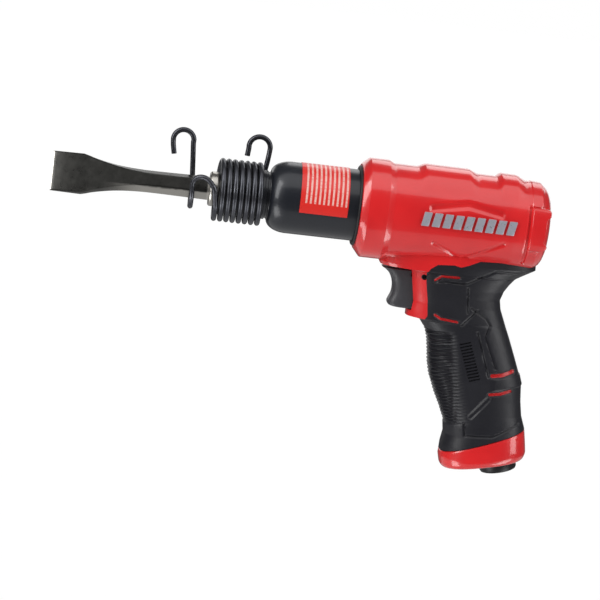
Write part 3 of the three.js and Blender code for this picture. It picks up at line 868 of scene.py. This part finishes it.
def ladder_slots():
    """Cutters for the slanted slots on both sides of the grip, which all reach the same depth."""
    (x0, z0), (x1, z1) = LADDER_LEFT
    slots = []
    for side in (-1, 1):
        for i in range(LADDER_SLOTS):
            share = (i + 0.5) / LADDER_SLOTS
            x, z = x0 + (x1 - x0) * share, z0 + (z1 - z0) * share
            end_x, end_z = x + LADDER_WIDTH, z + LADDER_SLOPE * LADDER_WIDTH
            outline = [
                (x, z), (end_x, end_z),
                (end_x, end_z - LADDER_SLOT_HEIGHT), (x, z - LADDER_SLOT_HEIGHT),
            ]
            slots.append(plate("slot", outline, *sorted((side * 6.0, side * 25.0))))
    whole = joined(slots)
    angles = full_turn(160)
    rings = [[handle_point(-60 - i, a, LADDER_DEPTH) for a in angles] for i in range(36)]
    cut(whole, lofted("core", rings))
    return whole


def rubber_grip():
    """The rubber sleeve, with ribs in front, a ladder of slots, grooves and red windows."""
    angles = full_turn(SLEEVE_AROUND)
    rings = []
    for i in range(SLEEVE_LEVELS + 1):

        def plane(x, share=i / SLEEVE_LEVELS):
            return SLEEVE_TOP + (height_on(COLLAR_TOP, x) + 0.3 - SLEEVE_TOP) * share

        ring = []
        for x, y, z in handle_ring(angles, plane):
            middle = Vector((sum(along(HANDLE_STATIONS, z)[:2]) / 2, 0, z))
            out = (Vector((x, y, z)) - middle).normalized()
            ring.append(tuple(Vector((x, y, z)) + out * grip_relief(x, y, z)))
        rings.append(ring)
    piece = lofted("grip_sleeve", rings)
    cut(piece, plate("region", GRIP_OUTLINE, -BEYOND, BEYOND), operation="INTERSECT")
    cut(piece, ladder_slots())
    outward(piece)
    return finish(piece, RUBBER, stands_for=["rubber_grip"], smooth=50)


COLLAR_ROUND = 2.6
COLLAR_ROUND_START = 0.70  # share of the height at which the lower edge starts to round
COLLAR_SLOTS, COLLAR_SLOT_X, COLLAR_SLOT_PITCH, COLLAR_SLOT_WIDTH = 4, -36.5, 4, 1.8


def collar_ring(angles, share, inset):
    """A ring of the collar at a share of the way down from its top plane to its bottom plane."""

    def plane(x):
        top = height_on(COLLAR_TOP, x)
        return top + (height_on(COLLAR_BOTTOM, x) - top) * share

    return handle_ring(angles, plane, inset)


def collar():
    """The red foot of the handle, with a rounded lower edge, a lip and slots underneath."""
    angles = full_turn(160)
    levels = [(0, 2.6), (0, 0.5), (0.015, 0.15), (0.05, 0.0)]
    levels += [(0.05 + (COLLAR_ROUND_START - 0.05) * i / 8, 0.0) for i in range(1, 9)]
    for i in range(1, 9):
        turn = math.pi / 2 * i / 8
        share = COLLAR_ROUND_START + (1 - COLLAR_ROUND_START) * math.sin(turn)
        levels.append((share, COLLAR_ROUND * (1 - math.cos(turn))))
    levels += [(1, 6), (1, 10)]
    piece = lofted("foot_collar", [collar_ring(angles, share, inset) for share, inset in levels])
    seat = rod("seat", inlet_point(-6), inlet_point(5.6), INLET_RADIUS + 0.3, steps=64)
    bore = rod("bore", inlet_point(-6), inlet_point(26), 8.9, steps=48)
    slots = []
    for i in range(COLLAR_SLOTS):
        x = COLLAR_SLOT_X + COLLAR_SLOT_PITCH * i
        end = x + COLLAR_SLOT_WIDTH
        slots.append(plate("slot", [(x, -150), (end, -150), (end, -131), (x, -131)], -9, 9, 0.5))
    cut(piece, seat, bore, *slots)
    outward(piece)
    return finish(piece, RED, stands_for=["base_collar"], smooth=30)


def inlet_point(up):
    """A point on the inlet's axis, a distance up from its end face."""
    return tuple(INLET_END + Vector((-math.sin(INLET_TILT), 0, math.cos(INLET_TILT))) * up)


THREADS = 9
THREAD_PITCH = 1.41
THREAD_END = 14.2
THREAD_RADIUS = 5.75
THREAD_TAPER = 0.06


def inlet():
    """The threaded bushing of the air inlet."""
    thread = []
    for i in range(THREADS):
        up = i * THREAD_PITCH
        depth = THREAD_END - up
        radius = THREAD_RADIUS + THREAD_TAPER * up
        thread += [(depth, radius), (depth - THREAD_PITCH / 2, radius + 0.65)]
    outline = [
        (0, 7.2), (0, INLET_RADIUS - 1.4), (0.4, INLET_RADIUS - 0.5), (1.4, INLET_RADIUS),
        (5.2, INLET_RADIUS), (5.2, 8.5), (19.5, 8.5), (19.5, 4.0), (15.2, 4.0),
        (15.2, THREAD_RADIUS),
        *thread,
    ]
    start, end = Vector(inlet_point(0)), Vector(inlet_point(1))
    turn = (end - start).to_track_quat("X", "Z").to_matrix().to_4x4()
    piece = turned("inlet_socket", outline, 72, Matrix.Translation(start * MM) @ turn)
    finish(piece, OXIDE, stands_for=["inlet_bushing"])


# ---------------------------------------------------------------- barrel and label


def quarter(x, r, radius, start, steps=6):
    """A rounded corner of a turned outline: points of a quarter circle about a centre."""
    turns = [math.radians(start + 90 * i / steps) for i in range(steps + 1)]
    return [(x + radius * math.cos(t), r + radius * math.sin(t)) for t in turns]


def barrel():
    """The black barrel with its nose, its neck groove and its rounded shoulder."""
    rise = BARREL_RADIUS - NECK_RADIUS
    shoulder = []
    for i in range(17):
        turn = math.pi / 2 * i / 16
        x = SHOULDER_X + SHOULDER_LENGTH * (1 - math.cos(turn))
        shoulder.append((x, NECK_RADIUS + rise * math.sin(turn)))
    outline = [
        (NOSE_X, 5.4), *reversed(quarter(NOSE_X + 0.9, 12.7, 0.9, 90)),
        (-157.8, 13.6), (-157.4, NECK_RADIUS), (-156.2, NECK_RADIUS), (-155.9, 12.7),
        (-155.0, 12.7), (-154.8, 13.2), *shoulder,
        (-30.6, BARREL_RADIUS), (-30, BARREL_RADIUS - 0.6), (-30, BARREL_BORE),
        (-155.5, BARREL_BORE), (-158, 5.4),
    ]
    piece = turned("barrel_tube", outline, 128)
    finish(piece, BARREL, stands_for=["barrel"], smooth=28)


LABEL_WRAP = (math.radians(-15), math.radians(98))
LABEL_ENDS = (-138.6, -112.3)


def label():
    """The thin printed band that wraps the near upper side of the barrel."""
    steps = 72
    low, high = LABEL_WRAP
    front_x, rear_x = LABEL_ENDS
    inner, outer = BARREL_RADIUS + 0.05, BARREL_RADIUS + 0.32
    corners = [(front_x, inner), (front_x, outer), (rear_x, outer), (rear_x, inner)]
    rings = []
    for i in range(steps + 1):
        angle = low + (high - low) * i / steps
        rings.append([(x, -r * math.cos(angle), r * math.sin(angle)) for x, r in corners])
    piece = lofted("barrel_band", rings)
    finish(piece, LABEL, stands_for=["barrel_label"])


def bumper_ring():
    """The rubber ring between the barrel and the housing's rim."""
    inner, outer, rounding = BARREL_RADIUS + 0.15, 22.0, 0.6
    front_x = RIM_X - 1.2
    outline = [
        (RIM_X - 0.1, inner), (RIM_X - 0.1, outer),
        *quarter(front_x + rounding, outer - rounding, rounding, 90), (front_x, inner),
    ]
    piece = turned("rim_ring", outline, 96)
    finish(piece, NITRILE, stands_for=["front_bumper_ring"])


# ---------------------------------------------------------------- bit end


def hook(x, y, z, radius, start, end, steps):
    """Points of an arc in a plane of constant y, the angles measured from +X towards +Z."""
    turns = [math.radians(start + (end - start) * i / steps) for i in range(steps + 1)]
    return [(x + radius * math.cos(t), y, z + radius * math.sin(t)) for t in turns]


def retainer():
    """One wound wire: thumb hook, loop under the chisel, coil round the nose, thumb hook."""
    side = CRADLE_RADIUS
    front = [(-207.9, side, 15.6), (-208.8, side, 20)]
    front += hook(-203.6, side, 23.6, 5.65, 192, -12, 9)
    front += [(-197.5, side, 16), (-196.9, side, 9), (-196.4, side, 3)]
    for i in range(9):
        turn = math.radians(10 + 20 * i)
        front.append((-196.1 - 0.1 * i, side * math.cos(turn), -side * math.sin(turn)))
    front += [
        (-197.1, -10.9, 1.8), (-196.6, -11.6, 4.6), (-194.6, -12.6, 6.7), (-191.6, -13.7, 7.2),
        (-188.9, -14.6, 6.2), (-186.6, -15.4, 3.8), (-185, -15.85, 0.8),
    ]
    start, stop = -60, 360 * COIL_TURNS + 82
    count = round((stop - start) / 360 * COIL_STEPS)
    coil = []
    for i in range(count + 1):
        degrees = start + (stop - start) * i / count
        turn = math.radians(degrees)
        x = COIL_FIRST_X + COIL_PITCH * degrees / 360
        coil.append((x, COIL_RADIUS * math.sin(turn), -COIL_RADIUS * math.cos(turn)))
    rear = [(-157.9, COIL_RADIUS, 3), (-157.1, COIL_RADIUS, 10), (-156.1, COIL_RADIUS, 17)]
    rear += hook(-161.4, COIL_RADIUS, 23.7, 5.9, -8, 190, 9)
    rear += [(-167.6, COIL_RADIUS, 18.4)]
    path = smooth_line([*front, coil[0]], 5)[:-1] + coil + smooth_line([coil[-1], *rear], 5)[1:]
    piece = wire("retainer_wire", path, WIRE_RADIUS)
    finish(piece, WIRE, "retainer", ["retainer_spring"], 60)


CHISEL_RINGS = [  # x, half height to the corner, half height of the flat, half thickness
    (-273.15, 11.1, 10.9, 0.35),
    (-271.0, 11.15, 10.8, 1.25),
    (-256.5, 11.4, 10.7, 2.6),
    (-254, 10.8, 9.9, 2.8),
    (-250, 9.6, 8.6, 3.3),
    (-244, 8.3, 6.9, 3.9),
    (-237, 7.2, 5.3, 4.5),
    (-228, 6.5, 3.9, 5.0),
    (-216, 6.3, 3.2, 5.4),
    (-187.5, 6.7, 3.4, 5.8),
    (-186, 6.7, 3.4, 5.8),
]


def chisel_ring(x, width, flat, thick):
    """A six-sided section with its corners eased."""
    corners = [
        Vector((x, 0, width)), Vector((x, -thick, flat)), Vector((x, -thick, -flat)),
        Vector((x, 0, -width)), Vector((x, thick, -flat)), Vector((x, thick, flat)),
    ]
    ring = []
    for i, corner in enumerate(corners):
        for other in (corners[i - 1], corners[(i + 1) % 6]):
            ease = min(0.45, 0.3 * (other - corner).length)
            ring.append(corner + (other - corner).normalized() * ease)
    return ring


def chisel():
    """The flat chisel: forged blade and bar, turned collar and shank."""
    rows = smooth_line(CHISEL_RINGS[2:], 6)
    blade = lofted("chisel_bit", [chisel_ring(*row) for row in [*CHISEL_RINGS[:2], *rows]])
    outline = [
        (-187.2, 0), (-187.2, 8.8), (-186.9, 9.2), (-186.2, 9.5), (-183.4, 9.5), (-182.6, 9.1),
        (-182.35, 8.6), (-182.35, 5.1), (-154, 5.1), (-153, 4.1), (-153, 0),
    ]
    shank = turned("shank", outline, 64)
    cut(blade, shank, operation="UNION")
    outward(blade)
    blade.data.transform(Matrix.Rotation(-math.radians(CHISEL_TURN), 4, "X"))
    finish(blade, FORGED, "chisel", ["chisel"], 22)


# ---------------------------------------------------------------- trigger


TRIGGER_FACE = smooth_line(  # x, height of the concave finger face
    [
        (-88.3, -31.4), (-85.8, -32.6), (-83.0, -35.2), (-81.3, -38.4), (-80.6, -42),
        (-80.8, -45.4), (-81.8, -48.2), (-82.5, -50.2), (-82.1, -51.8), (-80.6, -52.8),
    ],
    4,
)
TRIGGER_REAR_X = -68.7
TRIGGER_NOSE_LENGTH, TRIGGER_NOSE_WIDTH = 5.6, 4.6
EAR = [(-69.5, -31.5), (-69.5, -36.7), (-61.7, -36.7), (-61.7, -31.5)]
EAR_HALF_WIDTH = 2.9
SLOT_LENGTH = 5


def trigger_ring(x, z, inset):
    """A section of the trigger, well rounded towards the finger, drawn in by an amount."""
    half = TRIGGER_HALF_WIDTH - 0.05 - inset
    rear_x = TRIGGER_REAR_X - inset
    outline = []
    for i in range(11):
        turn = math.radians(90 * i / 10)
        back = TRIGGER_NOSE_LENGTH * (1 - math.cos(turn))
        outline.append((x + inset + back, half - TRIGGER_NOSE_WIDTH * (1 - math.sin(turn))))
    outline += [(rear_x - 0.5, half), (rear_x, half - 0.5)]
    return [(a, b, z) for a, b in outline] + [(a, -b, z) for a, b in reversed(outline)]


def trigger():
    """The sliding trigger, with a rounded concave finger face and a slotted ear."""
    last = len(TRIGGER_FACE) - 1
    rings = []
    for i, (x, z) in enumerate(TRIGGER_FACE):
        inset = {0: 0.6, 1: 0.2, last - 2: 0.15, last - 1: 0.5, last: 1.1}.get(i, 0.0)
        rings.append(trigger_ring(x, z, inset))
    piece = lofted("trigger_blade", rings)
    cut(piece, plate("ear", EAR, -EAR_HALF_WIDTH, EAR_HALF_WIDTH), operation="UNION")
    radius = PIN_RADIUS + 0.3
    front_x = PIN_X - SLOT_LENGTH
    outline = [
        (front_x, PIN_Z - radius), (PIN_X, PIN_Z - radius),
        (PIN_X, PIN_Z + radius), (front_x, PIN_Z + radius),
    ]
    slot = plate("slot", outline, -9, 9)
    ends = [rod("end", (x, -9, PIN_Z), (x, 9, PIN_Z), radius) for x in (front_x, PIN_X)]
    cut(piece, slot, *ends)
    outward(piece)
    finish(piece, TRIGGER, "trigger", ["trigger"], 32)


def roll_pin():
    """The split spring pin that holds the trigger."""
    half, past = 12.8, 14
    piece = rod("roll_pin", (PIN_X, -half, PIN_Z), (PIN_X, half, PIN_Z), PIN_RADIUS, 0.3)
    bore = rod("bore", (PIN_X, -past, PIN_Z), (PIN_X, past, PIN_Z), 0.75, steps=20)
    low, high = PIN_Z - 0.15, PIN_Z + 0.15
    outline = [(PIN_X + 0.7, low), (PIN_X + 3.3, low), (PIN_X + 3.3, high), (PIN_X + 0.7, high)]
    split = plate("split", outline, -past, past)
    cut(piece, bore, split)
    outward(piece)
    finish(piece, OXIDE, stands_for=["trigger_pin"])


VALVE_AXIS_Z = -44.5
SPRING_FRONT_X, SPRING_REAR_X = -46.0, -36.9
SPRING_RADIUS, SPRING_WIRE = 3.4, 0.4
SPRING_TURNS, SPRING_STEPS = 5, 24


def valve_spring():
    """The throttle's return spring, with closer end coils."""
    count = SPRING_TURNS * SPRING_STEPS
    path = []
    for i in range(count + 1):
        share = i / count
        turn = 2 * math.pi * SPRING_TURNS * share
        reach = SPRING_REAR_X - SPRING_FRONT_X - SPRING_WIRE
        x = SPRING_FRONT_X + SPRING_WIRE * share + reach * between(share, 0.0, 1.0)
        y, z = SPRING_RADIUS * math.cos(turn), SPRING_RADIUS * math.sin(turn)
        path.append((x, y, VALVE_AXIS_Z + z))
    piece = wire("valve_spring", path, SPRING_WIRE, 3)
    finish(piece, GROUND, stands_for=["throttle_spring"], smooth=60)
    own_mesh(piece)


# ---------------------------------------------------------------- build

upper_body()
neck()
rear_bosses()
badges()
rubber_grip()
collar()
inlet()
barrel()
label()
bumper_ring()
retainer()
chisel()
trigger()
roll_pin()
valve_spring()

INNER_FINISHES = {
    GROUND: ["piston", "valve_block", "valve_disc", "valve_cap", "throttle_stem"],
    BRASS: ["throttle_bushing", "inlet_screen"],
    NITRILE: ["rear_buffer", "barrel_oring", "throttle_bushing_oring", "throttle_seat"],
    FELT: ["exhaust_muffler"],
    OXIDE: ["barrel_lock_screw"],
}
for material, nodes in INNER_FINISHES.items():
    for node in nodes:
        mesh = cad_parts[node].data
        mesh.materials.clear()
        mesh.materials.append(material)

# ---------------------------------------------------------------- stage, lights and camera, in metres

VIEW_CENTRE = Vector((-130.2, 0, -55.7)) * MM
VIEW_DISTANCE = 1.5
VIEW_WIDTH = 0.330
VIEW_AZIMUTH = math.radians(-5.5)
VIEW_ELEVATION = math.radians(9)
VIEW_ROLL = math.radians(7.2)
FLOOR_SIZE = 90
FLOOR_Z = -2.2
SENSOR = 36
WALL_LIGHT = 0.1
TOOL = (-0.13, 0, -0.03)

# name, place, what it faces, size, radiance
SOFTBOXES = [
    ("overhead", (-0.13, -0.66, 1.1), (-0.13, -0.66, 0), (2.4, 1.36), 1.15),
    ("left", (-1.75, -1.0, 0.85), TOOL, (0.9, 2.0), 5.0),
    ("right", (1.5, -0.8, 0.7), TOOL, (0.8, 1.8), 3.6),
    ("low_left", (-1.4, -0.8, -1.25), TOOL, (0.9, 1.1), 3.8),
    ("low_right", (1.2, -0.9, -1.25), TOOL, (0.9, 1.1), 3.8),
    ("back", (-0.1, 2.2, 0.3), TOOL, (3.0, 0.9), 1.0),
    ("back_high", (0.5, 1.7, 1.4), TOOL, (1.6, 1.0), 1.6),
    ("table", (-0.13, 0, -0.41), (-0.13, 0, 1), (1.7, 1.15), 0.42),
]


def floor():
    """A wide plain white floor, which doesn't show in the gloss of the tool."""
    bpy.ops.object.select_all(action="DESELECT")
    bpy.ops.mesh.primitive_plane_add(size=FLOOR_SIZE, location=(0, 0, FLOOR_Z))
    plane = bpy.context.object
    plane.name = "floor"
    plane.visible_glossy = False
    plane.visible_diffuse = False
    plane.visible_shadow = False
    r = Recipe("pale_floor")
    r.finish(Base_Color=(0, 0, 0), Roughness=1.0, Emission_Color=(1, 1, 1), Emission_Strength=1.0)
    plane.data.materials.append(r.material)


def softbox(name, place, aim, size, radiance):
    """A rectangular softbox of an even brightness, which the camera doesn't see."""
    light = bpy.data.lights.new(name, "AREA")
    light.shape = "RECTANGLE"
    light.size, light.size_y = size
    light.energy = radiance * math.pi * size[0] * size[1]
    lamp = bpy.data.objects.new(name, light)
    bpy.context.scene.collection.objects.link(lamp)
    lamp.location = place
    lamp.rotation_euler = (Vector(aim) - Vector(place)).to_track_quat("-Z", "Y").to_euler()
    lamp.visible_camera = False


def camera():
    """A long lens from slightly above and slightly towards the nose, rolled with the tool."""
    back = Vector(
        (
            math.sin(VIEW_AZIMUTH) * math.cos(VIEW_ELEVATION),
            -math.cos(VIEW_AZIMUTH) * math.cos(VIEW_ELEVATION),
            math.sin(VIEW_ELEVATION),
        )
    )
    data = bpy.data.cameras.new("camera")
    data.sensor_width = SENSOR
    data.lens = SENSOR * VIEW_DISTANCE / VIEW_WIDTH
    view = bpy.data.objects.new("camera", data)
    bpy.context.scene.collection.objects.link(view)
    level_right = Vector((0, 0, 1)).cross(back).normalized()
    level_up = back.cross(level_right)
    right = level_right * math.cos(VIEW_ROLL) + level_up * math.sin(VIEW_ROLL)
    up = back.cross(right)
    turn = Matrix((right, up, back)).transposed().to_4x4()
    view.matrix_world = Matrix.Translation(VIEW_CENTRE + back * VIEW_DISTANCE) @ turn
    bpy.context.scene.camera = view


def studio_walls():
    """Far walls that look white and give only a dim light."""
    world = bpy.data.worlds.new("studio")
    bpy.context.scene.world = world
    world.use_nodes = True
    tree = world.node_tree
    seen = tree.nodes.new("ShaderNodeLightPath").outputs["Is Camera Ray"]
    level = tree.nodes.new("ShaderNodeMapRange")
    level.inputs["To Min"].default_value = WALL_LIGHT
    level.inputs["To Max"].default_value = 1.0
    tree.links.new(seen, level.inputs["Value"])
    sky = tree.nodes["Background"]
    sky.inputs["Color"].default_value = (1, 1, 1, 1)
    tree.links.new(level.outputs[0], sky.inputs["Strength"])


floor()
for box in SOFTBOXES:
    softbox(*box)
camera()
studio_walls()
bpy.context.scene.view_settings.view_transform = "Standard"
